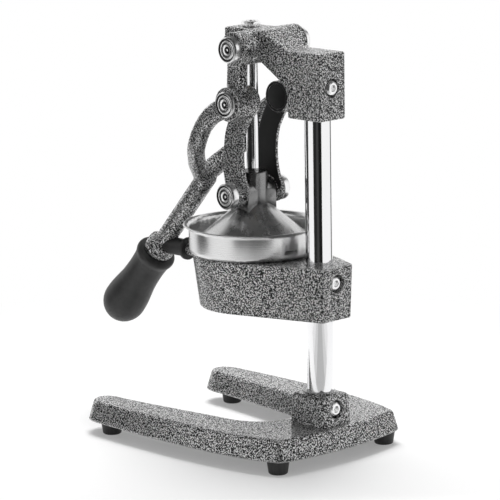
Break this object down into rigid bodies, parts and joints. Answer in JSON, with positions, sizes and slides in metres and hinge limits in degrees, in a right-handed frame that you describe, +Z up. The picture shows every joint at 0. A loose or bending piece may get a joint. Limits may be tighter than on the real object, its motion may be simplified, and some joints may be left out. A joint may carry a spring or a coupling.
{
  "type": "lever citrus press",
  "caption": "Hand citrus press: a long lever with a rubber grip works a toggle linkage on a column, pushing a press cone into a round strainer cup above a horseshoe base.",
  "frame": {"origin": "middle of the footprint of the whole press, on the table", "axes": "+Z up, the lever and the legs reach forward along -Y, the column stands at +Y, X runs across the legs"},
  "size_m": [0.2018, 0.33, 0.4038],
  "materials": {
    "hammertone_paint": "charcoal and silver hammertone paint on rough castings",
    "chrome": "mirror chrome plate",
    "turned_steel": "turned bright steel",
    "brushed_steel": "brushed stainless sheet",
    "satin_cast_metal": "satin machined casting",
    "black_rubber": "matte black rubber",
    "bronze": "plain sintered bronze",
    "black_steel": "blackened steel"
  },
  "bodies": {
    "frame": {"base_casting": "hammertone_paint", "foot_front_left": "black_rubber", "foot_front_right": "black_rubber", "foot_back_left": "black_rubber", "foot_back_right": "black_rubber", "foot_screws": "turned_steel", "column": "chrome", "base_clamp_bolt": "turned_steel", "bracket_clamp_bolt": "turned_steel", "head_clamp_bolt": "turned_steel", "cup_bracket": "hammertone_paint", "stop_buffer": "black_rubber", "drip_cup": "brushed_steel", "funnel": "brushed_steel", "strainer": "brushed_steel", "head_casting": "hammertone_paint", "rod_bush": "bronze", "top_pin_left": "turned_steel", "top_pin_right": "turned_steel"},
    "lever": {"lever_casting": "hammertone_paint", "knee_pin_left": "turned_steel", "knee_pin_right": "turned_steel", "hand_grip": "black_rubber"},
    "press": {"press_rod": "chrome", "rod_nut": "turned_steel", "press_block": "satin_cast_metal", "press_cone": "satin_cast_metal", "cone_screw": "turned_steel", "lower_pin_left": "turned_steel", "lower_pin_right": "turned_steel"},
    "links": {"link_left": "hammertone_paint", "link_right": "hammertone_paint", "knee_nut_left": "black_steel", "knee_nut_right": "black_steel"}
  },
  "joints": [
    {"name": "lever_hinge", "type": "hinge", "parent": "frame", "child": "lever", "pos_m": [0, 0.06124, 0.3825], "axis": [-1, 0, 0], "range_deg": [0, 90]},
    {"name": "press_slide", "type": "slide", "parent": "frame", "child": "press", "axis": [0, 0, 1], "range_m": [0, 0.0593]},
    {"name": "link_hinge", "type": "hinge", "parent": "press", "child": "links", "pos_m": [0, 0.04344, 0.2415], "axis": [1, 0, 0], "range_deg": [0, 31]}
  ],
  "couplings": [
    {"joint": "press_slide", "follows": "lever_hinge", "m_per_rad": 0.037562},
    {"joint": "link_hinge", "follows": "lever_hinge", "ratio": 0.34151}
  ]
}
